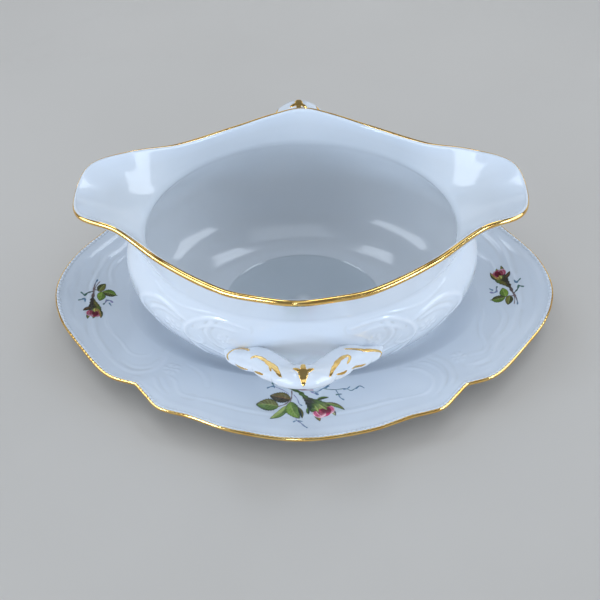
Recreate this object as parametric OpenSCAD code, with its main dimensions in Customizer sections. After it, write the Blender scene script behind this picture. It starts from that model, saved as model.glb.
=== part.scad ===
// Two-spouted gravy boat with scroll handles, standing on its own oval underplate.
// Frame: origin on the table under the centre of the plate, +X along the spouts,
// -Y towards the front handle, +Z up. Millimetres.

/* [Underplate] */
// Length of the plate, lobe to lobe
plate_length = 245; // [235:1:255]
// Width of the plate, front edge to rear edge
plate_width = 183; // [176:1:190]
// Height of the plate's edge above the table
plate_edge_height = 18; // [15:0.5:21]
// Height of the flat floor that the boat stands on
well_floor_height = 5; // [4.5:0.1:6]
// Thickness of the plate
plate_wall = 3.2; // [2.8:0.1:3.6]
// Length of the well, where the flange begins
well_length = 174; // [168:1:180]
// Width of the well, where the flange begins
well_width = 102; // [98:1:106]

/* [Boat] */
// Length of the belly at its widest
belly_length = 166; // [160:1:170]
// Width of the belly at its widest
belly_width = 125; // [121:1:128]
// Length of the neck under the flared collar
neck_length = 150; // [146:1:154]
// Width of the neck under the flared collar
neck_width = 122; // [118:1:124]
// Height of the neck above the table
neck_height = 60.5; // [58:0.5:63]
// Thickness of the boat's wall
boat_wall = 2.8; // [2.4:0.1:3.2]

/* [Spouts and rim] */
// Distance from the centre to the tip of a spout
spout_reach = 103; // [99:0.5:107]
// Height of the pouring lip at the tip of a spout
spout_tip_height = 78.5; // [76:0.5:80]
// Height of the raised sides of a spout
spout_side_height = 82.8; // [81:0.2:85]
// Height of the rim where it dips between spout and handle
rim_dip_height = 74.4; // [73:0.2:76]
// Height of the rim above the handles
rim_crown_height = 77.7; // [76:0.2:79]

/* [Handles] */
// Distance from the centre to the middle of the handle's tip
handle_reach = 89; // [86:0.5:91]
// Width of the handle's band at the tip
handle_band = 11; // [9:0.5:13]
// Thickness of the handle's band
handle_thickness = 6.4; // [5.5:0.1:7]
// Turn of the pair of handles about the upright axis, degrees
handle_turn = 1.8; // [0:0.2:3]

/* [Gilding and transfers] */
// How far gold and printed colours stand proud of the glaze
proud = 0.25; // [0.2:0.05:0.4]
// How deep they reach into the glaze
keyed = 0.25; // [0.2:0.05:0.4]
// Height of the gold band down the outside of the boat's rim
rim_gold_height = 2.4; // [1.8:0.1:3]

/* [Hidden] */

porcelain = [0.93, 0.95, 0.98];
gold = [0.83, 0.62, 0.22];
leaf_green = [0.35, 0.42, 0.18];

// ---------- curves ----------

// Cubic through p0 and p1 with slopes m0 and m1, t from 0 to 1
function hermite(p0, p1, m0, m1, t) =
    (2*t*t*t - 3*t*t + 1)*p0 + (t*t*t - 2*t*t + t)*m0
    + (3*t*t - 2*t*t*t)*p1 + (t*t*t - t*t)*m1;

// Smooth curve through evenly spaced points, t from 0 to len(p) - 1
function through(p, t) =
    let (i = min(floor(t), len(p) - 2), last = len(p) - 1,
         m0 = (p[min(i + 1, last)] - p[max(i - 1, 0)])/2,
         m1 = (p[min(i + 2, last)] - p[i])/2)
    hermite(p[i], p[i + 1], m0, m1, t - i);

// Smooth curve through points p at the places k, for a place u between k[1] and k[len(k) - 2]
function at_place(k, p, u, i = 1) =
    (u > k[i + 1] && i < len(k) - 3) ? at_place(k, p, u, i + 1)
    : let (h = k[i + 1] - k[i],
           m0 = (p[i + 1] - p[i - 1])/(k[i + 1] - k[i - 1]),
           m1 = (p[i + 2] - p[i])/(k[i + 2] - k[i]))
      hermite(p[i], p[i + 1], h*m0, h*m1, (u - k[i])/h);

// An angle folded into the first quarter, and the signs that unfold it
function folded(angle) = let (a = angle % 360) a <= 90 ? a : a <= 180 ? 180 - a : a <= 270 ? a - 180 : 360 - a;
function sign_x(a) = (a % 360 > 90 && a % 360 < 270) ? -1 : 1;
function sign_y(a) = a % 360 > 180 ? -1 : 1;

function unit(v) = v/norm(v);

// Polyhedron faces between rings of n points; the rings may close on themselves
function ring_faces(rings, n, closed = false) = [
    for (j = [0 : (closed ? rings : rings - 1) - 1], i = [0 : n - 1])
        let (a = j*n + i, b = j*n + (i + 1) % n,
             c = ((j + 1) % rings)*n + (i + 1) % n, d = ((j + 1) % rings)*n + i)
        each [[a, c, b], [a, d, c]]
];

// Closed solid through rings that run anticlockwise, seen from where the rings are heading
module skin(rings, closed = false) {
    n = len(rings[0]);
    count = len(rings);
    ends = closed ? [] : [
        [for (i = [0 : n - 1]) i],
        [for (i = [n - 1 : -1 : 0]) (count - 1)*n + i]
    ];
    polyhedron([for (r = rings) each r], concat(ring_faces(count, n, closed), ends), convexity = 8);
}

function oval(a, b, n) = [for (i = [0 : n - 1]) [a*cos(360*i/n), b*sin(360*i/n)]];

// Upright oval ring with true flat faces
module oval_ring(a, b, width, z0, z1, n = 72) {
    translate([0, 0, z0])
        linear_extrude(z1 - z0)
            difference() {
                polygon(oval(a, b, n));
                polygon(oval(a - width, b - width, n));
            }
}

// ---------- underplate ----------

half_length = plate_length/2;
half_width = plate_width/2;

// Edge of one quarter: an end lobe and a side lobe that meet in a notch
end_lobe = [
    [half_length - 5, -20], [half_length, 0], [half_length - 5, 20], [105, 38.3], [91, 54.5],
    [76.5, 60.5], [60, 66]
];
side_lobe = [
    [83, 56], [76.5, 60.5], [71, 67], [64, 74.3], [50, 79], [29, half_width - 4.5],
    [0, half_width], [-29, half_width - 4.5]
];
edge_steps = 3;
edge_quarter = [
    for (lobe = [end_lobe, side_lobe], i = [1 : len(lobe) - 3], k = [0 : edge_steps - 1])
        through(lobe, i + k/edge_steps),
    [0, half_width]
];
quarter_last = len(edge_quarter) - 1;
edge = [
    for (p = edge_quarter) p,
    for (i = [quarter_last - 1 : -1 : 0]) [-edge_quarter[i].x, edge_quarter[i].y],
    for (i = [1 : quarter_last]) [-edge_quarter[i].x, -edge_quarter[i].y],
    for (i = [quarter_last - 1 : -1 : 1]) [edge_quarter[i].x, -edge_quarter[i].y]
];

well_edge_height = well_floor_height + 4;
foot_height = 2;
floor_share = 0.82;

function oval_radius(dir, a, b) = a*b/norm([b*dir.x, a*dir.y]);
function well_radius(p) = oval_radius(unit(p), well_length/2, well_width/2);
edge_radii = [for (p = edge_quarter) [atan2(p.y, p.x), norm(p)]];
function edge_radius(p) = lookup(atan2(abs(p.y), abs(p.x)), edge_radii);

// Height of the flange for a share t of the way from the well to the edge
function flange_rise(t) =
    well_edge_height + (plate_edge_height - well_edge_height)*(0.75*t + 0.25*t*t);
// Height of the well's side for a share q of the way from the floor to the flange
function well_rise(q) = well_floor_height + (well_edge_height - well_floor_height)*q*q*(2 - q);

function flange_height(p) =
    let (w = well_radius(p)) flange_rise((norm(p) - w)/(edge_radius(p) - w));

// A ring of the flange, a share t of the way from the well to the edge
function flange_ring(t, drop = 0) = [
    for (p = edge) let (q = unit(p)*(well_radius(p)*(1 - t) + norm(p)*t))
        [q.x, q.y, flange_rise(t) - drop]
];
function well_ring(q, drop = 0) = [
    for (p = edge) let (r = unit(p)*well_radius(p)*(floor_share + (1 - floor_share)*q))
        [r.x, r.y, well_rise(q) - drop]
];
// A ring that follows the edge, moved outwards and down
function edge_ring(out, drop) = [
    for (p = edge) let (q = p + unit(p)*out) [q.x, q.y, plate_edge_height - drop]
];

module underplate() {
    color(porcelain) {
        skin([
            well_ring(0, plate_wall),
            for (q = [0.5, 1]) well_ring(q, plate_wall),
            for (t = [0.3, 0.65]) flange_ring(t, plate_wall),
            edge_ring(-2.2, plate_wall), edge_ring(-0.3, plate_wall - 0.5),
            edge_ring(0, 1.2), edge_ring(-0.8, 0.2),
            for (t = [0.93, 0.7, 0.45, 0.2]) flange_ring(t),
            for (q = [1, 0.75, 0.5, 0.25, 0]) well_ring(q)
        ]);
        oval_ring(66, 38, 4.5, 0, well_floor_height - plate_wall + 0.6);
    }
}

// Thin strip of gold round the outer face of the plate's edge
module underplate_rim_gilding() {
    color(gold)
        skin([
            edge_ring(-0.4, plate_wall - 0.4), edge_ring(0.15, plate_wall - 0.3),
            edge_ring(0.4, 1.2), edge_ring(-0.7, 0), edge_ring(-0.8, 0.5), edge_ring(-0.4, 1.4)
        ], closed = true);
}

// ---------- transfers ----------

// Patch of print on the flange: a fan over an outline of plan points
module patch(outline) {
    n = len(outline);
    middle = [for (k = [0, 1]) [for (p = outline) p[k]]*[for (p = outline) 1/n]];
    all = concat(outline, [middle]);
    top = [for (p = all) [p.x, p.y, flange_height(p) + proud]];
    low = [for (p = all) [p.x, p.y, flange_height(p) - keyed]];
    polyhedron(concat(top, low), [
        for (i = [0 : n - 1]) let (j = (i + 1) % n)
            each [[n, j, i], [n + 1 + n, n + 1 + i, n + 1 + j], [i, j, n + 1 + j], [i, n + 1 + j, n + 1 + i]]
    ]);
}

// Pointed leaf from its stalk, turned by an angle
function leaf_outline(at, angle, length, width) = [
    for (s = [[0, 0], [0.25, -0.42], [0.5, -0.5], [0.78, -0.3], [1, 0], [0.78, 0.3], [0.5, 0.5], [0.25, 0.42]])
        let (a = s.x*length, b = s.y*width)
            at + [a*cos(angle) - b*sin(angle), a*sin(angle) + b*cos(angle)]
];
// Spray for the long sides: stem, leaves on one side of it, and a rose bud at its end
side_spray = [
    leaf_outline([-10, 10.5], -22, 13, 1.2),
    leaf_outline([1, 6], -48, 11, 4),
    leaf_outline([-4.5, 5.5], 250, 7, 1),
    leaf_outline([-5, 2], 181, 9.5, 6.6),
    leaf_outline([-9, -3.2], 184, 11, 7.4),
    leaf_outline([-6.2, -3.6], 230, 11, 4.4),
    leaf_outline([-4.2, -1], 297, 11, 7),
    leaf_outline([7, -3], -48, 9, 7.5),
    leaf_outline([13, -6], 2, 7, 1.8)
];
// Spray for the ends: upright stem with leaves on its right and the bud at its foot
end_spray = [
    leaf_outline([-1.7, 10.5], 272, 16, 1),
    leaf_outline([0.2, 4], 52, 6.5, 3.4),
    leaf_outline([0.2, 4], -52, 7, 4.4),
    leaf_outline([2.6, 4.6], -8, 6.5, 3.4),
    leaf_outline([-2, 1.5], 184, 6, 1.6),
    leaf_outline([-1, -5], 274, 10, 6)
];

function placed(spray, at, angle) = [
    for (outline = spray) [
        for (p = outline) at + [p.x*cos(angle) - p.y*sin(angle), p.x*sin(angle) + p.y*cos(angle)]
    ]
];

module transfer(spray, at, angle) {
    color(leaf_green)
        for (outline = placed(spray, at, angle)) patch(outline);
}

side_spray_reach = 66;
end_spray_reach = 102;
module front_rose_transfer() { transfer(side_spray, [0, -side_spray_reach], 0); }
module rear_rose_transfer() { transfer(side_spray, [0, side_spray_reach], 180); }
module left_rose_transfer() { transfer(end_spray, [-end_spray_reach, -2], 0); }
module right_rose_transfer() { transfer(end_spray, [end_spray_reach, 2], 188); }

// ---------- boat ----------

boat_rest_gap = 0.1;
boat_foot_height = well_floor_height + boat_rest_gap;
boat_underside = boat_foot_height + 1.2;
boat_floor = 8.8;

// Half length, half width and height of the belly's rings, from the foot to the neck
belly_rings = [
    [45, 35, boat_underside],
    [57, 44, 9.6],
    [70, 52.5, 17],
    [belly_length/2 - 4.8, belly_width/2 - 4.4, 27],
    [belly_length/2 - 0.2, belly_width/2 - 0.8, 38],
    [belly_length/2 - 0.4, belly_width/2, 48],
    [(belly_length + neck_length)/4 - 1, (belly_width + neck_width)/4, 56.3],
    [neck_length/2, neck_width/2, neck_height]
];
// Shares of the way from the neck to the rim
collar_shares = [0.2, 0.45, 0.72, 1];
ring_count = len(belly_rings) + len(collar_shares);

// One quarter of the rim, from the tip of a spout to the crown above a handle
rim_places = [-10, 0, 10, 23, 40, 64.5, 77, 90, 103];
rim_points = [
    [spout_reach - 4.8, -16.6, spout_side_height - 0.6],
    [spout_reach, 0, spout_tip_height],
    [spout_reach - 4.8, 16.6, spout_side_height - 0.6],
    [80.5, 25.4, spout_side_height],
    [59.4, 38.3, rim_dip_height + 1.9],
    [32, 54, rim_dip_height],
    [14.5, 60.6, rim_crown_height - 1.4],
    [0, 63.9, rim_crown_height],
    [-14.5, 60.6, rim_crown_height - 1.4]
];

function rim_point(a) =
    let (p = at_place(rim_places, rim_points, folded(a))) [p.x*sign_x(a), p.y*sign_y(a), p.z];

function belly_point(r, a) = [r[0]*cos(a), r[1]*sin(a), r[2]];
function neck_point(a) = belly_point(belly_rings[len(belly_rings) - 1], a);
flare = 0.4;
// Top of the outer face under the rounded lip
function lip_root(a) =
    let (r = rim_point(a), rise = r - neck_point(a),
         up = unit([rise.x*(1 + flare), rise.y*(1 + flare), rise.z]),
         out = unit(cross(rim_point(a + 1) - rim_point(a + 359), up)))
    r + (out - up)*boat_wall/2;
function collar_point(t, a) =
    let (n = neck_point(a), r = lip_root(a) - n, h = t*(1 - flare + flare*t))
    n + [r.x*h, r.y*h, r.z*t];

// The line up the outside of the boat at angle a, from the foot to the rim
function boat_line(a) = concat(
    [for (r = belly_rings) belly_point(r, a)],
    [for (t = collar_shares) collar_point(t, a)]
);

around = 72;
angle_step = 360/around;
rise_steps = 2;
rises = [for (i = [0 : (ring_count - 1)*rise_steps]) i/rise_steps];
// Outside of the boat: one row of points for each rise
outside = [for (s = rises) [for (i = [0 : around - 1]) through(boat_line(i*angle_step), s)]];
last_rise = len(rises) - 1;

// Outward direction at row j, point i
function outward(j, i) =
    let (up = outside[min(j + 1, last_rise)][i] - outside[max(j - 1, 0)][i],
         round = outside[j][(i + 1) % around] - outside[j][(i + around - 1) % around])
    unit(cross(round, up));
normals = [for (j = [0 : last_rise]) [for (i = [0 : around - 1]) outward(j, i)]];
function upward(i) = unit(cross(normals[last_rise][i], outside[last_rise][(i + 1) % around]
    - outside[last_rise][(i + around - 1) % around]));

// Row of points at a depth under the outside
function depth_row(j, depth) = [for (i = [0 : around - 1]) outside[j][i] - normals[j][i]*depth];
// Row of points on the rounded lip: phi 0 is outside, 90 on top, 180 inside
function lip_row(phi, radius) = [
    for (i = [0 : around - 1])
        outside[last_rise][i] - normals[last_rise][i]*boat_wall/2
            + radius*(cos(phi)*normals[last_rise][i] + sin(phi)*upward(i))
];

first_inner_rise = 2;

module boat_bowl() {
    color(porcelain) {
        skin([
            for (r = outside) r,
            for (phi = [45, 90, 135]) lip_row(phi, boat_wall/2),
            for (j = [last_rise : -1 : first_inner_rise]) depth_row(j, boat_wall),
            [for (p = oval(38.5, 30.5, around)) [p.x, p.y, boat_floor]]
        ]);
        oval_ring(44, 34, 4, boat_foot_height, boat_underside + 0.6);
    }
}

// Band of gold over the outer half of the rim
module boat_rim_gilding() {
    lip = boat_wall/2;
    shift = [0, 0, rim_gold_height];
    lowered = function (row) [for (p = row) p - shift];
    color(gold)
        skin([
            lowered(depth_row(last_rise, keyed)), lowered(depth_row(last_rise, -proud)),
            depth_row(last_rise, -proud),
            for (phi = [45, 90]) lip_row(phi, lip + proud),
            for (phi = [100, 45]) lip_row(phi, lip - keyed),
            depth_row(last_rise, keyed)
        ], closed = true);
}

// ---------- handles ----------

handle_tip_height = 58.5;
// Middle line of the right arm, from its root on the belly to the tip
arm = [
    [34, -56, 37], [28, -63.4, 41.5], [20, -68.6, 46], [12, -77.5, 52],
    [5.5, -handle_reach + 3.5, 56.5], [0, -handle_reach, handle_tip_height]
];
handle_line = concat(
    [for (i = [0 : len(arm) - 1]) arm[i]],
    [for (i = [len(arm) - 2 : -1 : 0]) [-arm[i].x, arm[i].y, arm[i].z]]
);
// Width of the band at the same points
arm_widths = [5, 9, 10.5, 9.5, handle_band - 0.5, handle_band];
handle_widths = concat(arm_widths, [for (i = [len(arm) - 2 : -1 : 0]) arm_widths[i]]);
arm_thicknesses = [3, 5.2, 6, handle_thickness, handle_thickness, handle_thickness];
handle_thicknesses = concat(arm_thicknesses, [for (i = [len(arm) - 2 : -1 : 0]) arm_thicknesses[i]]);

handle_rings = 30;
handle_sides = 12;

// Point on the handle's surface: t along it, phi round it, 90 on its upper face
function handle_point(t, phi, lift = 0) =
    let (d = unit(through(handle_line, min(t + 0.1, len(handle_line) - 1))
             - through(handle_line, max(t - 0.1, 0))),
         side = unit(cross(d, [0, 0, 1])), up = cross(side, d),
         w = through(handle_widths, t)/2 + lift, h = through(handle_thicknesses, t)/2 + lift)
    through(handle_line, t) + w*cos(phi)*side + h*sin(phi)*up;

module handle() {
    last = len(handle_line) - 1;
    color(porcelain)
        skin([
            for (j = [0 : handle_rings])
                [for (i = [0 : handle_sides - 1]) handle_point(last*j/handle_rings, -360*i/handle_sides)]
        ]);
}

// Gold stroke on the upper face of the handle: a line of [along, round] pairs
module stroke(line, width) {
    steps = 4*(len(line) - 1);
    heading = sign(line[0].x - line[len(line) - 1].x);
    skin([
        for (k = [0 : steps])
            let (s = through(line, k/4), spread = heading*width*(k == 0 || k == steps ? 0.4 : 1))
                [handle_point(s.x, s.y - spread, proud), handle_point(s.x, s.y + spread, proud),
                 handle_point(s.x, s.y + spread, -keyed), handle_point(s.x, s.y - spread, -keyed)]
    ]);
}

module handle_gilding() {
    middle = (len(handle_line) - 1)/2;
    color(gold) {
        for (side = [-1, 1]) {
            stroke([for (s = [[1.3, 100], [2.2, 96], [3.1, 76]]) [middle + side*s.x, s.y]], 9);
            stroke([for (s = [[3.3, 126], [4, 122], [4.6, 92]]) [middle + side*s.x, s.y]], 8);
            stroke([for (s = [[2.7, 20], [3.2, 24], [3.7, 18]]) [middle + side*s.x, s.y]], 8);
        }
        stroke([for (s = [[-0.55, 118], [0, 100], [0.55, 118]]) [middle + s.x, s.y]], 9);
        stroke([for (s = [[-0.12, 74], [0, 76], [0.12, 74]]) [middle + s.x, s.y]], 13);
    }
}

module front_side() { rotate([0, 0, handle_turn]) children(); }
module rear_side() { rotate([0, 0, 180 + handle_turn]) children(); }

module front_handle() { front_side() handle(); }
module rear_handle() { rear_side() handle(); }
module front_handle_gilding() { front_side() handle_gilding(); }
module rear_handle_gilding() { rear_side() handle_gilding(); }

underplate();
underplate_rim_gilding();
front_rose_transfer();
rear_rose_transfer();
left_rose_transfer();
right_rose_transfer();
boat_bowl();
front_handle();
rear_handle();
boat_rim_gilding();
front_handle_gilding();
rear_handle_gilding();
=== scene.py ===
"""Looks of the gravy boat and its underplate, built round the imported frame.

Lengths are in metres, angles in degrees. +X runs along the spouts, -Y towards the front handle.
Each porcelain form is one dense grid of quads worked out from the same curves as the CAD solids.
The embossed scrolls, the pearls of the plate's edge, the gold and the printed sprays are geometry too.
"""

import math

import bpy
import numpy as np
from mathutils import Matrix, Vector


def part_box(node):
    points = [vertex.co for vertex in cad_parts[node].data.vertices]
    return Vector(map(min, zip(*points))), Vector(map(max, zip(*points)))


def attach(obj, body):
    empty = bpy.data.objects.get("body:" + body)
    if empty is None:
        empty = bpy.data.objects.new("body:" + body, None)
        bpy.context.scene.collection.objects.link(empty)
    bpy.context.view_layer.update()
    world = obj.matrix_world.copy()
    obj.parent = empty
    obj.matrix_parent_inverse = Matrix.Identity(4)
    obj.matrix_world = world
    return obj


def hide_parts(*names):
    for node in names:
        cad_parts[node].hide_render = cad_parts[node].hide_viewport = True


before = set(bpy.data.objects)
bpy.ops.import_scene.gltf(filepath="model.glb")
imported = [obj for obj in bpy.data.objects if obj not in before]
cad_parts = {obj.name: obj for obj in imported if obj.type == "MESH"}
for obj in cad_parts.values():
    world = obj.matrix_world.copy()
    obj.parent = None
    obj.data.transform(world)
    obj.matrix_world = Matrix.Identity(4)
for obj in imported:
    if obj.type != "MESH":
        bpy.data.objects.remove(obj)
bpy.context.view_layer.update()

MM = 0.001

# ---------------------------------------------------------------- sizes from the frame
_, plate_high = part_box("underplate")
bowl_low, bowl_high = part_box("boat_bowl")
HALF_LENGTH = plate_high.x
HALF_WIDTH = plate_high.y
EDGE_HEIGHT = plate_high.z
SPOUT_REACH = bowl_high.x
BOAT_FOOT = bowl_low.z


# ---------------------------------------------------------------- curves
def cosd(a):
    return np.cos(np.radians(a))


def sind(a):
    return np.sin(np.radians(a))


def unit(v):
    return v / np.maximum(np.linalg.norm(v, axis=-1, keepdims=True), 1e-12)


def smooth(low, high, x):
    """0 below low, 1 above high, an even S between them."""
    t = np.clip((x - low) / (high - low), 0, 1)
    return t * t * (3 - 2 * t)


def bell(x, width):
    """1 at 0, fading to 0 on both sides."""
    return np.exp(-((x / width) ** 2))


def streaks(x, width):
    """Even lines of height 1, one in the middle of each unit of x."""
    return bell(np.mod(x, 1) - 0.5, width)


def spline(knots, points, at):
    """Smooth curve through points at the places knots."""
    knots = np.asarray(knots, float)
    points = np.asarray(points, float)
    shape = points.shape[1:]
    points = points.reshape(len(knots), -1)
    at = np.clip(np.asarray(at, float), knots[0], knots[-1])
    slopes = np.empty_like(points)
    slopes[1:-1] = (points[2:] - points[:-2]) / (knots[2:] - knots[:-2])[:, None]
    slopes[0] = (points[1] - points[0]) / (knots[1] - knots[0])
    slopes[-1] = (points[-1] - points[-2]) / (knots[-1] - knots[-2])
    i = np.clip(np.searchsorted(knots, at, side="right") - 1, 0, len(knots) - 2)
    span = (knots[i + 1] - knots[i])[..., None]
    t = (at - knots[i])[..., None] / span
    curve = (
        (2 * t**3 - 3 * t**2 + 1) * points[i]
        + (t**3 - 2 * t**2 + t) * span * slopes[i]
        + (3 * t**2 - 2 * t**3) * points[i + 1]
        + (t**3 - t**2) * span * slopes[i + 1]
    )
    return curve.reshape(at.shape + shape)


def through(points, at):
    """Smooth curve through evenly spaced points, at from 0 to len(points) - 1."""
    return spline(np.arange(len(points)), points, at)


def oval(angle, half_length, half_width, z):
    """Points at height z on an oval; its half length and half width may differ from angle to angle."""
    x, y = half_length * cosd(angle), half_width * sind(angle)
    return np.stack([x, y, np.broadcast_to(z, x.shape)], -1)


def folded(angle):
    """An angle folded into the first quarter, and the signs that unfold it."""
    a = np.mod(angle, 360.0)
    quarter = np.where(a <= 90, a, np.where(a <= 180, 180 - a, np.where(a <= 270, a - 180, 360 - a)))
    return quarter, np.where((a > 90) & (a < 270), -1.0, 1.0), np.where(a > 180, -1.0, 1.0)


# ---------------------------------------------------------------- meshes
def add_object(name, data):
    obj = bpy.data.objects.new(name, data)
    bpy.context.scene.collection.objects.link(obj)
    return obj


def grid_mesh(name, points, wrap_v=False, caps=False):
    """Quads over closed rows points[v][u]; caps closes the first and last rows with a fan."""
    rows, cols = points.shape[:2]
    verts = points.reshape(-1, 3)
    vv, uu = np.meshgrid(np.arange(rows if wrap_v else rows - 1), np.arange(cols), indexing="ij")
    a = vv * cols + uu
    b = vv * cols + (uu + 1) % cols
    c = ((vv + 1) % rows) * cols + (uu + 1) % cols
    d = ((vv + 1) % rows) * cols + uu
    faces = np.stack([a, b, c, d], -1).reshape(-1, 4).tolist()
    if caps:
        for row, forward in ((0, False), (rows - 1, True)):
            middle = len(verts)
            verts = np.vstack([verts, points[row].mean(0)])
            for k in range(cols):
                one, two = row * cols + k, row * cols + (k + 1) % cols
                faces.append([one, two, middle] if forward else [two, one, middle])
    mesh = bpy.data.meshes.new(name)
    mesh.from_pydata(verts.tolist(), [], faces)
    mesh.validate()
    mesh.shade_smooth()
    return add_object(name, mesh)


def joined(name, objects):
    """One object from several."""
    bpy.ops.object.select_all(action="DESELECT")
    for o in objects:
        o.select_set(True)
    bpy.context.view_layer.objects.active = objects[0]
    bpy.ops.object.join()
    objects[0].name = name
    objects[0].data.name = name
    return objects[0]


def set_relief_and_shading(obj, values):
    """A number for each vertex, in mm, which the porcelain turns into colour: raised parts above 0 get a
    painted highlight, pooled glaze and painted shade below 0.
    """
    attribute = obj.data.attributes.new("relief", "FLOAT", "POINT")
    attribute.data.foreach_set("value", np.asarray(values, np.float32).ravel())


def set_paint(obj, values):
    """A colour for each vertex, which the print reads."""
    attribute = obj.data.color_attributes.new("paint", "FLOAT_COLOR", "POINT")
    rgba = np.ones((len(values), 4), np.float32)
    rgba[:, :3] = values
    attribute.data.foreach_set("color", rgba.ravel())


def normals_of(points):
    """Unit normals of closed rows, pointing out of a surface whose rows run anticlockwise and upwards."""
    return unit(np.cross(np.roll(points, -1, 1) - np.roll(points, 1, 1), np.gradient(points, axis=0)))


# ---------------------------------------------------------------- underplate
END_LOBE = np.array([(HALF_LENGTH / MM - 5, -20), (HALF_LENGTH / MM, 0), (HALF_LENGTH / MM - 5, 20),
                     (105, 38.3), (91, 54.5), (76.5, 60.5), (60, 66)]) * MM
SIDE_LOBE = np.array([(83, 56), (76.5, 60.5), (71, 67), (64, 74.3), (50, 79),
                      (29, HALF_WIDTH / MM - 4.5), (0, HALF_WIDTH / MM),
                      (-29, HALF_WIDTH / MM - 4.5)]) * MM
WELL_HALF_LENGTH = 87 * MM
WELL_HALF_WIDTH = 51 * MM
FLOOR_SHARE = 0.82
FLOOR_HEIGHT = 5 * MM
WELL_EDGE_HEIGHT = FLOOR_HEIGHT + 4 * MM
PLATE_WALL = 3.2 * MM
EDGE_THICKNESS = PLATE_WALL - 0.9 * MM
PLATE_FOOT_RING = (66 * MM, 38 * MM, 4.5 * MM)  # half length, half width, width of the ring itself
PEARL_PITCH = 2.15 * MM
PEARL_RADIUS = 1.3 * MM
PEARL_GAP = 0.4 * MM  # depth of the gaps between the pearls
PEARL_TOP_HIGHLIGHT = 0.2  # relief value at the top of a pearl: a painted highlight, lighter than the gaps between pearls
PEARL_INSET = 1.15 * MM  # of the line that the pearls are strung on, inwards and downwards from the edge


# The plate's edge over one quarter, in plan
EDGE_STEP = 1 / 24
EDGE_QUARTER = np.vstack([
    *(through(lobe, np.arange(1, len(lobe) - 2, EDGE_STEP)) for lobe in (END_LOBE, SIDE_LOBE)),
    (0, HALF_WIDTH),
])
EDGE_ANGLE = np.degrees(np.arctan2(EDGE_QUARTER[:, 1], EDGE_QUARTER[:, 0]))
EDGE_RADIUS = np.hypot(EDGE_QUARTER[:, 0], EDGE_QUARTER[:, 1])


def edge_radius(angle):
    return np.interp(folded(angle)[0], EDGE_ANGLE, EDGE_RADIUS)


def well_radius(angle):
    return WELL_HALF_LENGTH * WELL_HALF_WIDTH / np.hypot(
        WELL_HALF_WIDTH * cosd(angle), WELL_HALF_LENGTH * sind(angle))


def flange_rise(t):
    return WELL_EDGE_HEIGHT + (EDGE_HEIGHT + 0.2 * MM - WELL_EDGE_HEIGHT) * (0.75 * t + 0.25 * t * t)


def well_rise(q):
    return FLOOR_HEIGHT + (WELL_EDGE_HEIGHT - FLOOR_HEIGHT) * q * q * (2 - q)


def even_angles(count):
    """Angles that cut the plate's edge into even lengths, starting at the +X end."""
    fine = np.linspace(0, 360, 7201)
    r = edge_radius(fine)
    x, y = r * cosd(fine), r * sind(fine)
    run = np.concatenate([[0], np.cumsum(np.hypot(np.diff(x), np.diff(y)))])
    return np.interp(np.arange(count) * run[-1] / count, run, fine), run[-1]


def segments_distance(x, y, line):
    """Distance from each point to a line of points, and how far along it the nearest place is."""
    best = np.full(x.shape, 1e9)
    along = np.zeros(x.shape)
    total = 0.0
    for (ax, ay), (bx, by) in zip(line[:-1], line[1:]):
        length = math.hypot(bx - ax, by - ay)
        t = np.clip(((x - ax) * (bx - ax) + (y - ay) * (by - ay)) / length**2, 0, 1)
        d = np.hypot(x - ax - t * (bx - ax), y - ay - t * (by - ay))
        nearer = d < best
        best = np.where(nearer, d, best)
        along = np.where(nearer, total + t * length, along)
        total += length
    return best, along / total


# Raised scrolls of the flange: plan points in mm, height in mm and half width in mm.
# Opposite quarters are alike, so there is one list for the front left and one for the front right.
FLANGE_BORDER = (
    (((117.5, 0), (113.3, 18), (101.5, 34.5), (88.5, 49.5), (77, 55)), 0.16, 1.7),
    (((73, 59), (67.5, 63), (61, 69.5), (48.5, 74.4), (27.5, 82), (0, 86.5)), 0.16, 1.7),
    (((50, 65.5), (43.5, 67), (36.5, 69), (25, 72.5), (12, 75), (0, 76)), 0.22, 0.9),
    (((104, 14), (105.6, 7), (106, 0)), 0.22, 1.0),
)
FLANGE_LEFT = FLANGE_BORDER + (
    # S-scroll of the end lobe and the larger C that runs outside it
    (((97, 12), (94.5, 22), (87.5, 30), (82, 37.5), (77.5, 39.3), (73, 38), (71, 34)), 0.24, 0.8),
    (((64, 33), (65, 40), (68, 46.5), (73, 50.3), (79, 51.3), (86.5, 47), (94.5, 38.5), (101, 27.5),
      (104, 14)), 0.3, 1.25),
    (((66.5, 41), (71, 46), (78, 47.5), (84, 44)), 0.14, 0.8),
    # hook that opens the side lobe's panel, and the ribs beside it
    (((61.5, 52.5), (58.5, 55.5), (57.2, 60), (55, 63.6), (50, 65.5)), 0.26, 0.95),
    (((68.5, 53.5), (66.5, 59.5), (63, 64.5)), 0.15, 0.8),
    (((65, 53.5), (63, 58.5), (60.5, 62.5)), 0.15, 0.8),
    (((54, 42), (49, 45.5), (45, 51), (43.5, 57)), 0.14, 0.9),
)
FLANGE_RIGHT = FLANGE_BORDER + (
    # shell of three C-scrolls that closes the side lobe's panel
    (((47.5, 44.5), (54, 46), (59, 49.8), (61.2, 54.5), (60, 60), (56, 63.8), (50, 65.5)), 0.3, 0.95),
    (((53.5, 40.5), (60, 43.2), (64.3, 48), (65.6, 54), (64.2, 60.5), (60.5, 65.5)), 0.26, 0.9),
    (((59, 36.5), (65.3, 40.6), (69, 46), (70.2, 52), (69, 58), (65, 63.5)), 0.24, 0.9),
    # scrolls of the end lobe
    (((78, 45.5), (82.5, 45), (87.5, 42.5), (91.5, 37), (95.5, 30.5), (100.5, 24.5), (104, 14)), 0.28, 1.2),
    (((83, 49.5), (90, 46.5), (96, 39.5)), 0.15, 0.9),
    (((88.5, 8), (87.2, 18), (86.6, 25), (88, 32), (86, 37.5), (80, 39)), 0.2, 0.8),
    (((96.5, 8), (98, 15), (96, 22), (91.5, 28)), 0.15, 0.8),
)
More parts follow.
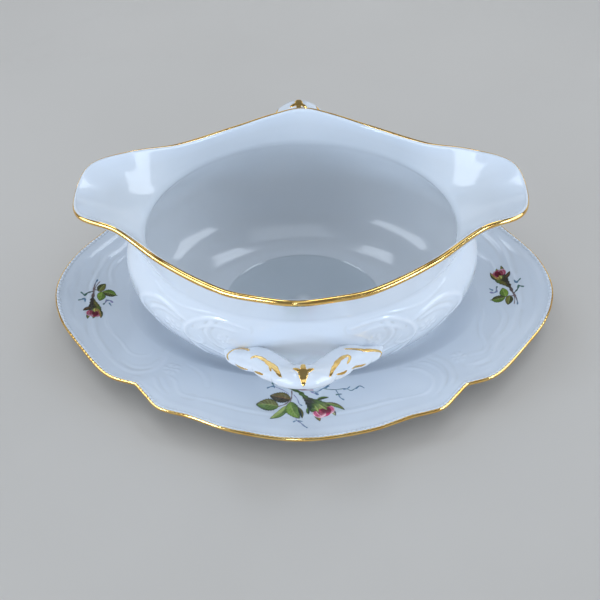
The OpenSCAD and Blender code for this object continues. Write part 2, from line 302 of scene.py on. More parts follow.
# Small rosettes where the scrolls meet: centre and radius
ROSETTE_LEFT = (((61, 47), 4.6),)
ROSETTE_RIGHT = (((74, 40), 4.2),)


def scroll_relief(x, y, scrolls, rosettes):
    """Height in metres of the embossed scrolls at plan points x, y in mm."""
    height = np.zeros_like(x)
    for line, rise, half in scrolls:
        fine = through(line, np.linspace(0, len(line) - 1, 8 * len(line)))
        near = (
            (x > fine[:, 0].min() - 6) & (x < fine[:, 0].max() + 6)
            & (y > fine[:, 1].min() - 6) & (y < fine[:, 1].max() + 6)
        )
        if not near.any():
            continue
        d, along = segments_distance(x[near], y[near], fine)
        taper = smooth(0, 0.12, along) * 0.5 + 0.5
        taper = taper * (1 - 0.45 * smooth(0.75, 1, along))
        raised = rise * taper * (bell(d, half * taper) - 0.35 * bell(d - 2.1 * half, 0.7 * half))
        height[near] = np.maximum(height[near], raised) + np.minimum(0, raised) * 0.6
    for (cx, cy), radius in rosettes:
        r = np.hypot(x - cx, y - cy) / radius
        turn = np.arctan2(y - cy, x - cx)
        petals = (0.55 + 0.45 * np.cos(6 * turn + 2.2 * r)) * smooth(1.0, 0.75, r) * smooth(0.22, 0.42, r)
        height += 0.34 * petals + 0.3 * smooth(0.26, 0.1, r)
    return 0.85 * height * MM


def flange_relief(x, y):
    """Height of the scrolls at plan points on the flange."""
    across, along = np.abs(x) / MM, np.abs(y) / MM
    left = scroll_relief(across, along, FLANGE_LEFT, ROSETTE_LEFT)
    right = scroll_relief(across, along, FLANGE_RIGHT, ROSETTE_RIGHT)
    return np.where(x * y > 0, left, right)


def flange_fade(t):
    return smooth(0.02, 0.12, t) * smooth(0.99, 0.95, t)


def plate_surface(x, y):
    """Height of the plate's upper face at plan points, on the flange or in the well."""
    angle = np.degrees(np.arctan2(y, x))
    r, w = np.hypot(x, y), well_radius(angle)
    q = np.clip((r / w - FLOOR_SHARE) / (1 - FLOOR_SHARE), 0, 1)
    t = (r - w) / (edge_radius(angle) - w)
    return np.where(r < w, well_rise(q), flange_rise(t) + flange_relief(x, y) * flange_fade(t))


def plate_rows(angles):
    """Rows of the underplate, and the relief on them in mm.

    They run from the underside of the well, round the edge, to the well's floor.
    """
    w = well_radius(angles)
    e = edge_radius(angles)
    floor = w * FLOOR_SHARE
    half = EDGE_THICKNESS / 2
    rows, relief = [], []

    def add(r, z, raised=0.0):
        rows.append(oval(angles, r, r, z))
        relief.append(np.broadcast_to(raised / MM, r.shape))

    for q in np.linspace(0.25, 1, 5):
        add(floor * q, FLOOR_HEIGHT - PLATE_WALL)
    for q in np.linspace(0.15, 1, 6):
        add(w * (FLOOR_SHARE + (1 - FLOOR_SHARE) * q), well_rise(q) - PLATE_WALL)
    for t in np.linspace(0.1, 0.94, 10):
        add(w + (e - w) * t, flange_rise(t) - PLATE_WALL + 0.5 * MM * t)
    for a in np.linspace(-80, 80, 9):
        add(e - half + half * cosd(a), EDGE_HEIGHT - half + half * sind(a))
    for t in np.linspace(0.975, 0.0, 84):
        r = w + (e - w) * t
        raised = flange_relief(r * cosd(angles), r * sind(angles))
        add(r, flange_rise(t) + raised * flange_fade(t), raised)
    for q in np.linspace(0.94, 0, 16):
        add(w * (FLOOR_SHARE + (1 - FLOOR_SHARE) * q), well_rise(q))
    for q in np.linspace(0.85, 0.1, 8):
        add(floor * q, FLOOR_HEIGHT)
    return np.array(rows), np.array(relief)


# Section of a foot ring: across and up, as shares of its width and height
FOOT_PROFILE = ((-0.5, 1), (-0.47, 0.25), (-0.38, 0.06), (-0.25, 0),
                (0.25, 0), (0.38, 0.06), (0.47, 0.25), (0.5, 1))


def foot_ring(half_length, half_width, width, low, high):
    """Rounded oval ring that the piece stands on."""
    angles = np.arange(256) * 360 / 256
    rows = []
    for across, up in FOOT_PROFILE:
        off = (across - 0.5) * width
        rows.append(oval(angles, half_length + off, half_width + off, low + (high - low) * up))
    ring = grid_mesh("foot", np.array(rows), wrap_v=True)
    set_relief_and_shading(ring, np.zeros(len(ring.data.vertices)))
    return ring


def build_underplate():
    angles, _ = even_angles(640)
    rows, relief = plate_rows(angles)
    plate = grid_mesh("underplate_body", rows, caps=True)
    set_relief_and_shading(plate, np.concatenate([relief.ravel(), [0, 0]]))
    ring = foot_ring(*PLATE_FOOT_RING, 0, FLOOR_HEIGHT - PLATE_WALL + 0.4 * MM)
    return joined("underplate_body", [plate, ring])


def build_pearl_edge():
    """The string of pearls moulded on the plate's edge, and the gold over its outer face."""
    angles, run = even_angles(3072)
    beads = round(run / PEARL_PITCH)
    wave = np.abs(np.sin(np.pi * np.arange(len(angles)) * beads / len(angles))) ** 0.7
    string = edge_radius(angles) - PEARL_INSET

    def row(radius, turn):
        """Row at a radius and a turn about the line that the pearls are strung on."""
        r = string + radius * cosd(turn)
        return oval(angles, r, r, EDGE_HEIGHT - PEARL_INSET + radius * sind(turn))

    def beaded(turn):
        """Smooth on its outer face, beaded over its top and inner side."""
        share = smooth(40, 85, turn) * smooth(235, 200, turn)
        return PEARL_RADIUS - PEARL_GAP * (1 - wave) * share

    rows = np.array([row(beaded(turn), turn) for turn in np.arange(0, 360, 24)])
    pearl = grid_mesh("underplate_pearl_edge", rows, wrap_v=True)
    # Pearl tops lighter than the gaps between them: painted highlight
    set_relief_and_shading(pearl, np.tile(wave * PEARL_TOP_HIGHLIGHT, len(rows)))
    brush = 4 * sind(angles * 7 + 40) + 3 * sind(angles * 23) + 2 * sind(angles * 61 + 10)
    rows = []
    for lift, turns in ((0.05 * MM, np.linspace(-95, 66, 12)), (-0.15 * MM, np.linspace(66, -95, 5))):
        for turn in turns:
            brushed = turn + (brush + 7 * (wave - 0.6)) * smooth(0, 60, turn)
            rows.append(row(beaded(brushed) + lift, brushed))
    return pearl, grid_mesh("underplate_gold_line", np.array(rows), wrap_v=True)


# ---------------------------------------------------------------- boat
BOAT_WALL = 2.8 * MM
BOAT_UNDERSIDE = BOAT_FOOT + 1.2 * MM
BOAT_FLOOR = 8.8 * MM
BOAT_FLOOR_SIZE = (38.5 * MM, 30.5 * MM)  # half length, half width
# The boat's inner floor from its edge inwards: share of its size, and depth in mm under its edge
FLOOR_CREASE = ((1.012, 0), (0.996, 0.1), (0.985, 0.32), (0.97, 0.38),
                (0.85, 0.36), (0.6, 0.3), (0.35, 0.26), (0.12, 0.25))
BOAT_FOOT_RING = (44 * MM, 34 * MM, 4 * MM)  # half length, half width, width of the ring itself
BELLY_SIZE = (82.8, 62)  # half length, half width at its widest, in mm
INNER_PAINTED_SHADE = -0.075  # painted shade inside the bowl, as a relief value: a little darker and greyer, most of all on its floor
# lowest relief value: the darkest painted shade, on the bowl's floor
DARKEST_PAINTED_SHADE = -0.25
# relief value that gets the lightest colour: painted highlight on raised parts
HIGHEST_RELIEF = 0.45
NECK_HALF_LENGTH = 75 * MM
NECK_HALF_WIDTH = 61 * MM
NECK_HEIGHT = 60.5 * MM
FLARE = 0.4

# Half length, half width and height of the belly's rings, from the foot to the neck
BELLY_RINGS = np.array([
    (45, 35, BOAT_UNDERSIDE / MM), (57, 44, 9.6), (70, 52.5, 17), (78.2, 58.1, 27), (82.8, 61.7, 38),
    (82.6, 62.5, 48), (78, 61.75, 56.3), (75, 61, 60.5),
]) * MM
COLLAR_SHARES = (0.2, 0.45, 0.72, 1.0)
LAST_RING = len(BELLY_RINGS) + len(COLLAR_SHARES) - 1

RIM_PLACES = (-10, 0, 10, 23, 40, 64.5, 77, 90, 103)
RIM_POINTS = np.array([
    (98.2, -16.6, 82.2), (103, 0, 78.5), (98.2, 16.6, 82.2), (80.5, 25.4, 82.8), (59.4, 38.3, 76.3),
    (32, 54, 74.4), (14.5, 60.6, 76.3), (0, 63.9, 77.7), (-14.5, 60.6, 76.3),
]) * MM * (SPOUT_REACH / (103 * MM), 1, 1)


def rim_point(angle):
    quarter, sx, sy = folded(angle)
    p = spline(RIM_PLACES, RIM_POINTS, quarter)
    return p * np.stack([sx, sy, np.ones_like(sx)], -1)


def neck_point(angle):
    return oval(angle, NECK_HALF_LENGTH, NECK_HALF_WIDTH, NECK_HEIGHT)


def lip_root(angle):
    """Top of the outer face, under the rounded lip."""
    r = rim_point(angle)
    rise = (r - neck_point(angle)) * (1 + FLARE, 1 + FLARE, 1)
    up = unit(rise)
    out = unit(np.cross(rim_point(angle + 1) - rim_point(angle - 1), up))
    return r + (out - up) * BOAT_WALL / 2


def boat_rings(angle):
    """The boat's outer rings, from the underside to the lip."""
    rings = [oval(angle, *ring) for ring in BELLY_RINGS]
    neck = neck_point(angle)
    rise = lip_root(angle) - neck
    for t in COLLAR_SHARES:
        h = t * (1 - FLARE + FLARE * t)
        rings.append(neck + rise * (h, h, t))
    return np.array(rings)


# Embossed scrolls of one quarter of the belly: distance from the middle and height in mm, rise, half width
BELLY_SCROLLS = (
    (((26, 58), (36, 58.3), (46, 56.5), (56, 55.5), (65, 57.5)), 0.22, 0.7),
    (((22, 54.5), (29, 56.2), (37, 56), (44, 53), (49, 48.5), (51.5, 43), (50.5, 37.5), (46, 35.5),
      (43, 38.5), (45, 42)), 0.42, 0.95),
    (((27, 51.8), (35, 52.6), (41.5, 50.2), (46, 46)), 0.3, 0.7),
    (((49, 48.5), (56, 51.5), (63, 52.3), (69.5, 49), (73.5, 43), (73, 37), (68.5, 35),
      (66.5, 38.5)), 0.38, 0.95),
    (((54, 48), (60.5, 48.8), (66, 46), (69, 41.5)), 0.26, 0.7),
    (((46, 35.5), (40, 33.5), (33.5, 29), (28, 22)), 0.26, 0.9),
    (((50.5, 37.5), (47.5, 29), (41.5, 20)), 0.26, 0.9),
    (((68.5, 35), (63, 28.5), (56, 20.5)), 0.24, 0.9),
    (((37, 56), (41, 47), (37.5, 40), (31, 36.5)), 0.24, 0.8),
)
BELLY_ROSETTES = (((57.5, 41.5), 4.4), ((33, 45.5), 3.4))


def belly_relief(rows):
    """Height of the scrolls over rows of the boat's outside."""
    x, z = np.abs(rows[..., 0]) / MM, rows[..., 2] / MM
    height = scroll_relief(x, z, BELLY_SCROLLS, BELLY_ROSETTES)
    return 1.5 * height * smooth(12, 20, z) * smooth(60.5, 57.5, z)


def boat_surface(columns):
    """The outside of the boat, its columns and rows closer together where the scrolls are."""
    fine = np.arange(0, 360, 0.05)
    x, y = BELLY_SIZE[0] * cosd(fine), BELLY_SIZE[1] * sind(fine)
    weight = 0.6 + smooth(14, 22, np.abs(x)) * smooth(80, 73, np.abs(x))
    run = np.concatenate([[0], np.cumsum(np.hypot(np.roll(x, -1) - x, np.roll(y, -1) - y) * weight)])
    angles = np.interp(np.arange(columns) / columns * run[-1], run, np.append(fine, 360))
    rings = boat_rings(angles)
    rises = np.concatenate([np.linspace(0, 1.9, 8, endpoint=False), np.linspace(1.9, 7, 66, endpoint=False),
                            np.linspace(7, LAST_RING, 24)])
    outer = through(rings, rises)
    normal = normals_of(outer)
    return angles, rises, outer, normal


def lip_frame(outer, normal):
    """Top row of the outer face, its normals, and the direction that leads on upwards."""
    top, out = outer[-1], normal[-1]
    return top, out, unit(np.cross(out, np.roll(top, -1, 0) - np.roll(top, 1, 0)))


def lip_rows(top, normal, up, turns, radius):
    """Rows round the lip: turn 0 outside, 90 on top, 180 inside."""
    centre = top - normal * BOAT_WALL / 2
    return [centre + radius * (cosd(t) * normal + sind(t) * up) for t in turns]


def build_bowl():
    angles, rises, outer, normal = boat_surface(556)
    top, top_normal, up = lip_frame(outer, normal)
    relief = belly_relief(outer)
    shown = outer + normal * relief[..., None]
    lips = lip_rows(top, top_normal, up, np.linspace(12, 168, 12), BOAT_WALL / 2)
    inner = (outer - normal * BOAT_WALL)[rises >= 0.9][::-2]
    floor_edge = oval(angles, *BOAT_FLOOR_SIZE, BOAT_FLOOR)
    fillet = []
    for t in (0.3, 0.6, 0.85):
        mix = inner[-1] * (1 - t) + floor_edge * t
        mix[:, 2] -= (inner[-1][:, 2] - BOAT_FLOOR) * t * (1 - t) * 0.9
        fillet.append(mix)
    floor = [floor_edge * (q, q, 1) - (0, 0, d * MM) for q, d in FLOOR_CREASE]
    underside = [outer[0] * (q, q, 1) for q in (0.3, 0.6, 0.85)]
    rows = np.array([*underside, *shown, *lips, *inner, *fillet, *floor])
    bowl = grid_mesh("boat_bowl_body", rows, caps=True)
    values = np.zeros(rows.shape[:2])
    values[len(underside):len(underside) + len(shown)] = relief / MM
    inside = len(underside) + len(shown) + len(lips)
    # Painted shade inside the bowl: it sets in over four rows under the lip, and darkens row by row over the
    # floor
    painted_shading = np.minimum(np.arange(len(rows) - inside) / 4, 1) * INNER_PAINTED_SHADE
    painted_shading[-len(floor):] = np.clip(INNER_PAINTED_SHADE - 0.12 * np.arange(len(floor)), DARKEST_PAINTED_SHADE, 0)
    values[inside:] = painted_shading[:, None]
    set_relief_and_shading(bowl, np.concatenate([values.ravel(), [0, 0]]))
    ring = foot_ring(*BOAT_FOOT_RING, BOAT_FOOT, BOAT_UNDERSIDE + 0.5 * MM)
    return joined("boat_bowl_body", [bowl, ring])


def build_rim_gilding():
    """Gold over the outer face and the top of the boat's lip, with a hand-painted lower edge."""
    columns = 1440
    angles = np.arange(columns) * 360 / columns
    outer = through(boat_rings(angles), np.linspace(LAST_RING - 1, LAST_RING, 41))
    top, top_normal, up = lip_frame(outer, normals_of(outer))
    down_slope = unit(outer[-9] - outer[-1])
    height = (0.6 + 0.05 * sind(angles * 11) + 0.04 * sind(angles * 29 + 70)) * MM

    def down(share, lift):
        """Row on the outer face, a share of the band's height under the lip."""
        return top + down_slope * (height * share)[:, None] + top_normal * lift

    lift, key = 0.07 * MM, -0.12 * MM
    rows = [down(share, lift) for share in (1, 0.9, 0.45)]
    rows += lip_rows(top, top_normal, up, np.linspace(0, 114, 17), BOAT_WALL / 2 + lift)
    rows += lip_rows(top, top_normal, up, np.linspace(114, 0, 6), BOAT_WALL / 2 + key)
    rows += [down(share, key) for share in (0.5, 1)]
    return grid_mesh("boat_gold_line", np.array(rows), wrap_v=True)


# ---------------------------------------------------------------- handles
HANDLE_TURN = 1.8
ARM = np.array([(34, -56, 37), (28, -63.6, 41.3), (20.3, -69.8, 45.8), (13, -79.3, 51.5),
                (6.4, -86.6, 56.2), (0, -88.4, 58)]) * MM
ARM_WIDTH = np.array([5, 9.4, 11, 10.4, 10.4, 11]) * MM
ARM_THICKNESS = np.array([3, 5.2, 6, 6.4, 6.4, 6.4]) * MM
BAND_ROUNDNESS = 0.82  # 1 gives the band an oval section, less a boxier one
HANDLE_HIGHLIGHT = 0.3  # the handles take the lighter colour of raised parts: a painted highlight


def whole_arm(values, mirror_x=False):
    """Values along the right arm, continued down the left one."""
    back = values[-2::-1].copy()
    if mirror_x:
        back[:, 0] *= -1
    return np.concatenate([values, back])


HANDLE_LINE = whole_arm(ARM, mirror_x=True)
HANDLE_WIDTH = whole_arm(ARM_WIDTH)
HANDLE_THICKNESS = whole_arm(ARM_THICKNESS)
HANDLE_LAST = len(HANDLE_LINE) - 1
TIP = HANDLE_LAST / 2


def handle_point(t, turn, lift=0.0):
    """Point on the front handle: t along it, turn round it, 0 at its outer edge and 90 on top."""
    t, turn = np.broadcast_arrays(np.asarray(t, float), np.asarray(turn, float))
    ahead = unit(through(HANDLE_LINE, np.minimum(t + 0.1, HANDLE_LAST))
                 - through(HANDLE_LINE, np.maximum(t - 0.1, 0)))
    side = unit(np.cross((0, 0, 1), ahead))
    up = np.cross(ahead, side)
    up = np.where(up[..., 2:] < 0, -up, up)
    from_tip = np.abs(t - TIP)
    half = through(HANDLE_WIDTH, t) / 2
    thick = through(HANDLE_THICKNESS, t) / 2
    c, s = cosd(turn), sind(turn)
    outer_side = np.clip(c, 0, 1)
    lobes = 0.9 * MM * (np.abs(np.cos(np.pi * (from_tip - 1.0) / 1.15)) - 0.55) * smooth(0.8, 1.6, from_tip)
    beak = 0.15 * MM * bell(from_tip, 0.42)
    inner_side = np.clip(-c, 0, 1)
    spread = MM * (0.6 + 2.4 * smooth(0, 2.6, from_tip)) * smooth(4.8, 3.4, from_tip)
    width = half + outer_side * (lobes + beak) + inner_side * spread
    ridge = 0.5 * MM * bell(turn - 90, 26) * smooth(0, 0.5, from_tip) * smooth(5.0, 4.2, from_tip)
    aside, above = (np.sign(v) * np.abs(v) ** BAND_ROUNDNESS for v in (c, s))
    return (through(HANDLE_LINE, t) + side * ((width + lift) * aside)[..., None]
            + up * ((thick + lift) * above + ridge)[..., None])


def turned(points, rear):
    """Points of the front handle turned into place, for the front or the rear of the boat."""
    a = math.radians(HANDLE_TURN + (180 if rear else 0))
    c, s = math.cos(a), math.sin(a)
    x, y = points[..., 0], points[..., 1]
    return np.stack([c * x - s * y, s * x + c * y, points[..., 2]], -1)


def build_handle(name, rear):
    t = np.linspace(0, HANDLE_LAST, 300)
    turn = np.arange(0, 360, 360 / 56)
    handle = grid_mesh(name, turned(handle_point(t[:, None], turn[None, :]), rear), caps=True)
    # Handles a little lighter all over: painted highlight
    set_relief_and_shading(handle, np.full(len(handle.data.vertices), HANDLE_HIGHLIGHT))
    return handle


def patches_mesh(name, patches, colours=None):
    """One object of closed thin patches, each a grid on top and a matching grid under it."""
    verts, faces, smoothed, start = [], [], [], 0
    for top, low in patches:
        rows, cols = top.shape[:2]
        index = np.arange(rows * cols).reshape(rows, cols)
        quads = np.stack([index[:-1, :-1], index[:-1, 1:], index[1:, 1:], index[1:, :-1]], -1)
        quads = quads.reshape(-1, 4)
        facing = np.cross(top[:-1, 1:] - top[:-1, :-1], top[1:, :-1] - top[:-1, :-1])
        upside_down = (facing * (top - low)[:-1, :-1]).sum() < 0
        if upside_down:
            quads = quads[:, ::-1]
        under = quads[:, ::-1] + rows * cols
        rim = np.concatenate([index[0, :-1], index[:-1, -1], index[-1, :0:-1], index[:0:-1, 0]])
        after = np.roll(rim, -1)
        sides = np.stack([rim, rim + rows * cols, after + rows * cols, after], -1)
        if upside_down:
            sides = sides[:, ::-1]
        verts += [top.reshape(-1, 3), low.reshape(-1, 3)]
        faces += [quads + start, under + start, sides + start]
        smoothed += [np.ones(2 * len(quads), bool), np.zeros(len(sides), bool)]
        start += 2 * rows * cols
    mesh = bpy.data.meshes.new(name)
    mesh.from_pydata(np.vstack(verts).tolist(), [], np.vstack(faces).tolist())
    mesh.polygons.foreach_set("use_smooth", np.concatenate(smoothed))
    obj = add_object(name, mesh)
    if colours is not None:
        set_paint(obj, np.vstack([np.vstack([c.reshape(-1, 3)] * 2) for c in colours]))
    return obj


# Gold strokes, as places from the tip, turns round the band and half widths in mm
LEFT_STROKES = (
    ((3.0, 72, 0.5), (2.91, 86, 0.8), (2.58, 91, 0.95), (2.05, 87, 1.15), (1.44, 77, 1.05), (0.96, 54, 0.6)),
    ((1.94, 83, 0.5), (1.74, 69, 0.6), (1.61, 57, 0.35)),
    ((3.46, 109, 0.5), (3.95, 126, 0.75), (4.27, 130, 0.65), (4.42, 88, 0.6), (4.44, 46, 0.5),
     (4.2, 14, 0.35)),
    ((3.83, 6, 0.3), (3.41, 3, 0.6), (2.96, -4, 0.3)),
    ((2.5, 3, 0.3), (2.18, 15, 0.55), (1.93, 21, 0.3)),
)
RIGHT_STROKES = (
    ((1.13, 40, 0.45), (1.48, 65, 0.85), (2.08, 87, 1.05), (2.48, 91, 0.95), (2.7, 86, 0.8), (2.62, 72, 0.6),
     (2.3, 56, 0.4)),
    ((3.0, 124, 0.5), (3.3, 106, 0.75), (3.7, 90, 1.0), (4.1, 76, 0.8), (4.45, 46, 0.65), (4.5, 10, 0.5),
     (4.35, 0, 0.35)),
    ((3.4, 12, 0.3), (2.9, 2, 0.45), (2.4, 12, 0.3)),
    ((2.13, 25, 0.3), (1.89, 18, 0.55), (1.54, 24, 0.3)),
)
TIP_STROKES = (
    ((0, 150, 0.7), (0, 118, 1.15), (0, 92, 1.2)),
    ((0.6, 105, 0.35), (0.4, 103, 0.8), (0.1, 92, 0.95)),
    ((-0.6, 99, 0.35), (-0.4, 98, 0.8), (-0.1, 91, 0.95)),
    ((0, 106, 1.3), (0, 92, 2.1), (0, 72, 1.9), (0, 56, 1.3), (0, 34, 0.85), (0, 12, 0.35)),
)


def stroke_patch(line, rear, layer):
    """Brush stroke of gold that hugs the handle, as a patch: domed, and thinner towards its ends."""
    line = np.array(line, float)
    line = through(line, np.linspace(0, len(line) - 1, 9 * (len(line) - 1) + 1))
    t, turn, half = line.T
    here = handle_point(t, turn)
    along_t = (handle_point(t + 0.02, turn) - here) / 0.02
    along_turn = handle_point(t, turn + 1.0) - here
    ahead = along_t * np.gradient(t)[:, None] + along_turn * np.gradient(turn)[:, None]
    across = unit(np.cross(unit(np.cross(along_turn, along_t)), ahead))
    # The steps of t and turn that together move straight across the stroke
    tt, ta, aa = ((p * q).sum(-1) for p, q in (
        (along_t, along_t), (along_t, along_turn), (along_turn, along_turn)))
    wt, wa = (across * along_t).sum(-1), (across * along_turn).sum(-1)
    det = np.maximum(tt * aa - ta * ta, 1e-16)
    step_t, step_turn = (wt * aa - wa * ta) / det, (wa * tt - wt * ta) / det
    ends = smooth(0, 3, np.minimum(np.arange(len(t)), np.arange(len(t))[::-1]) + 0.6)
    width = half * ends * (1 + 0.06 * np.sin(np.arange(len(t)) * 1.3)) * MM
    share = np.array([-1, -0.95, -0.7, -0.35, 0, 0.35, 0.7, 0.95, 1])
    ts = t[:, None] + share * (step_t * width)[:, None]
    turns = turn[:, None] + share * (step_turn * width)[:, None]
    lift = np.where(np.abs(share) < 1, 0.05 + 0.006 * layer + 0.03 * (1 - share**2), -0.02) * MM
    return turned(handle_point(ts, turns, lift), rear), turned(handle_point(ts, turns, -0.15 * MM), rear)


def build_handle_gilding(name, rear):
    strokes = [[(TIP + t, turn, half) for t, turn, half in line] for line in LEFT_STROKES + TIP_STROKES]
    strokes += [[(TIP - t, turn, half) for t, turn, half in line] for line in RIGHT_STROKES]
    return patches_mesh(name, [stroke_patch(line, rear, layer) for layer, line in enumerate(strokes)])


# ---------------------------------------------------------------- printed sprays
def rgb(r, g, b):
    """Linear pigment colour from eight-bit display values, a little brighter as the light is soft."""
    v = np.array([r, g, b]) / 255
    return 1.25 * np.where(v <= 0.04045, v / 12.92, ((v + 0.055) / 1.055) ** 2.4)


UMBER = rgb(52, 50, 28)
OLIVE = rgb(98, 92, 42)
LEAF = rgb(84, 112, 40)
LIME = rgb(112, 142, 48)
PALE = rgb(158, 172, 92)
INK = rgb(30, 42, 22)
TWIG = rgb(122, 104, 104)
BARK = rgb(58, 50, 40)
BLUE = rgb(96, 126, 150)
TEAL = rgb(72, 108, 98)
LILAC = rgb(150, 140, 178)
CRIMSON = rgb(158, 20, 60)
WINE = rgb(104, 6, 34)
PINK = rgb(196, 62, 108)
BLUSH = rgb(244, 206, 212)
RUST = rgb(146, 96, 54)
GOLDEN = rgb(190, 180, 84)


def mixed(a, b, share):
    return a * (1 - share[..., None]) + b * share[..., None]


def spine(base, tip):
    """Start and length of a leaf or petal, its direction, and the one across it."""
    base, tip = np.array(base, float), np.array(tip, float)
    length = np.hypot(*(tip - base))
    ahead = (tip - base) / length
    return base, length, ahead, np.array([-ahead[1], ahead[0]])


def leaf(base, tip, half, bend, body, shade, light, serrated=0.05, tail=0.0):
    """A leaf: half is half its width at the middle; bent sideways, its left side in shade."""
    base, length, ahead, across = spine(base, tip)
    s = np.linspace(0, 1, 56)[:, None]
    v = np.linspace(-1, 1, 23)[None, :]
    swell = np.clip(np.sin(np.pi * s ** 0.85), 0, 1) ** 0.72
    if tail:
        swell = np.maximum(swell * smooth(1.0, 1 - tail, s), 0.12 * smooth(1.0, 0.9, s))
    teeth = 1 + serrated * (np.mod(s * 9 + 0.15, 1) - 0.5) * 2 * np.abs(v) ** 3
    width = half * np.maximum(swell, 0.02) * teeth
    place = (base + ahead * length * s[..., None] + across * (bend * 4 * s * (1 - s))[..., None]
             + across * (v * width)[..., None])
    side = smooth(-0.25, 0.25, v)
    vein = bell(v, 0.07) * smooth(0.98, 0.8, s)
    ribs = streaks(s * 6.5 - np.abs(v) * 1.7, 0.13) * smooth(0.98, 0.7, np.abs(v))
    edge = smooth(0.72, 1.0, np.abs(v)) * (0.55 + 0.45 * side) + smooth(0.86, 1.0, s) * 0.8
    flow = 0.5 + 0.5 * np.sin(s * 9 + v * 4)
    colour = mixed(body, shade, side) * (0.86 + 0.28 * flow[..., None])
    colour = mixed(colour, light, np.clip(0.8 * vein + 0.5 * ribs * (1 - 0.4 * side), 0, 0.85))
    return place, mixed(colour, INK, np.clip(edge, 0, 0.85))


def stroke(points, start, end, first, last=None):
    """A brush line through points, its half width and colour changing from one end to the other."""
    s = np.linspace(0, len(points) - 1, 12 * (len(points) - 1) + 1)
    line = through(points, s)
    ahead = unit(np.gradient(line, axis=0))
    across = np.stack([-ahead[:, 1], ahead[:, 0]], -1)
    share = s / s[-1]
    half = 1.35 * (start + (end - start) * share) * (0.85 + 0.25 * np.sin(s * 5.1))
    half[[0, -1]] *= 0.4
    place = line[:, None] + across[:, None] * (half[:, None] * np.linspace(-1, 1, 5))[..., None]
    last = first if last is None else last
    return place, mixed(first, last, np.broadcast_to(share[:, None], place.shape[:2]))


def petal(base, tip, half, bend, core, margin, streak=0.5):
    """A rose petal: wide and round, its core deep and its margin pale."""
    base, length, ahead, across = spine(base, tip)
    s = np.linspace(0, 1, 34)[:, None]
    v = np.linspace(-1, 1, 21)[None, :]
    width = half * np.maximum(np.sqrt(np.clip(1 - (2 * s ** 0.9 - 1) ** 2, 0, 1)), 0.03)
    aside = bend * 4 * s * (1 - s) + v * width
    place = base + ahead * (length * s)[..., None] + across * aside[..., None]
    pale = smooth(0.72, 1.0, np.maximum(np.abs(v), s * 1.02)) * 0.85
    lines = streaks(v * 3.2 + s * 0.6, 0.2) * smooth(0.0, 0.4, s) * streak
    return place, mixed(core, margin, np.clip(pale + 0.35 * lines, 0, 1))


def panel(left, right, tones, jag, teeth, swell):
    """A painted area between two outlines with ragged edges.

    tones give its colour at places along and across it, both from 0 to 1.
    """
    s = np.linspace(0, 1, 56)
    v = np.linspace(0, 1, 25)
    left, right = (through(line, s * (len(line) - 1)) for line in (left, right))
    out = unit(right - left)
    ragged = jag * np.minimum(1, 3 * s)
    left = left - out * (ragged * np.mod(s * teeth + 0.3, 1))[:, None]
    right = right + out * (ragged * np.mod(s * (teeth + 1), 1))[:, None]
    down = unit(np.gradient((left + right) / 2, axis=0))
    place = left[:, None] * (1 - v[:, None]) + right[:, None] * v[:, None]
    place = place + down[:, None] * (swell * s[:, None] ** 4 * np.sin(np.pi * v))[..., None]
    s = s[:, None]
    weights = np.stack([np.exp(-((s - a) ** 2 + (v - b) ** 2) / 0.03) for a, b, _ in tones], -1)
    weights /= weights.sum(-1, keepdims=True)
    colour = (weights[..., None] * np.array([tone for _, _, tone in tones])).sum(-2)
    lines = streaks(v * 6 + s, 0.2)
    edge = smooth(0.3, 0.5, np.abs(v - 0.5))[None, :]
    return place, mixed(colour * (1 - 0.22 * lines[..., None]), INK, 0.6 * edge)


def rose_bud(centre, heading, size, deep=1.0):
    """The opening bud: outer petals behind, the rolled heart in front, and the calyx that holds it."""
    def at(ahead, aside):
        a = math.radians(heading)
        return (centre[0] + size * (ahead * math.cos(a) - aside * math.sin(a)),
                centre[1] + size * (ahead * math.sin(a) + aside * math.cos(a)))

    petals = [
        petal(at(-0.9, 0.5), at(0.95, 0.85), 0.75 * size, 0.1 * size, PINK, BLUSH),
        petal(at(-0.9, -0.5), at(0.9, -0.8), 0.75 * size, -0.1 * size, PINK, BLUSH),
        petal(at(-1.0, 0.0), at(1.0, 0.05), 0.95 * size, 0.0, CRIMSON, PINK, 0.3),
        petal(at(-0.8, 0.35), at(0.75, 0.45), 0.5 * size, 0.15 * size, WINE, CRIMSON),
        petal(at(-0.8, -0.35), at(0.85, -0.3), 0.5 * size, -0.1 * size, CRIMSON, BLUSH),
        petal(at(-0.7, 0.0), at(0.55, 0.1), 0.36 * size, 0.05 * size, WINE, CRIMSON, 0.2),
    ]
    return [(place, colour * deep) for place, colour in petals]


